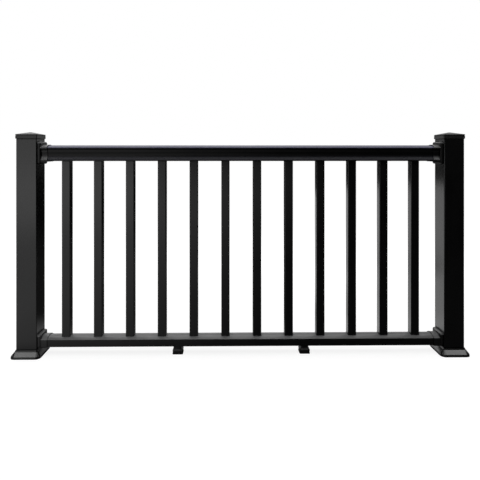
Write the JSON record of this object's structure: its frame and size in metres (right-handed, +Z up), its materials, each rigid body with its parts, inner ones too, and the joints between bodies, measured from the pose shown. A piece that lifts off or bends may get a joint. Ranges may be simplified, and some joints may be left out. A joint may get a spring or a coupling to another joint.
{
  "type": "vinyl rail fence panel",
  "caption": "Straight railing section: capped square posts with skirts, a moulded top rail and crowned bottom rail on brackets, square balusters and support feet.",
  "frame": {"origin": "centre of the left post's foot, on the floor", "axes": "+X along the panel to the right post, +Y to the back, +Z up"},
  "size_m": [1.956, 0.127, 0.9586],
  "materials": {
    "post_vinyl": "satin black extruded vinyl sleeve",
    "moulded_trim": "satin black injection-moulded plastic with a fine even grain",
    "rail_vinyl": "satin black extruded vinyl with a slight cool sheen",
    "baluster_vinyl": "satin black extruded vinyl"
  },
  "bodies": {
    "root": {"left_post": "post_vinyl", "right_post": "post_vinyl", "left_post_cap": "moulded_trim", "right_post_cap": "moulded_trim", "left_post_skirt": "moulded_trim", "right_post_skirt": "moulded_trim", "top_left_bracket": "moulded_trim", "top_right_bracket": "moulded_trim", "bottom_left_bracket": "moulded_trim", "bottom_right_bracket": "moulded_trim", "left_support_foot": "moulded_trim", "right_support_foot": "moulded_trim", "top_rail": "rail_vinyl", "bottom_rail": "rail_vinyl", "baluster_01": "baluster_vinyl", "baluster_02": "baluster_vinyl", "baluster_03": "baluster_vinyl", "baluster_04": "baluster_vinyl", "baluster_05": "baluster_vinyl", "baluster_06": "baluster_vinyl", "baluster_07": "baluster_vinyl", "baluster_08": "baluster_vinyl", "baluster_09": "baluster_vinyl", "baluster_10": "baluster_vinyl", "baluster_11": "baluster_vinyl", "baluster_12": "baluster_vinyl"}
  },
  "joints": []
}
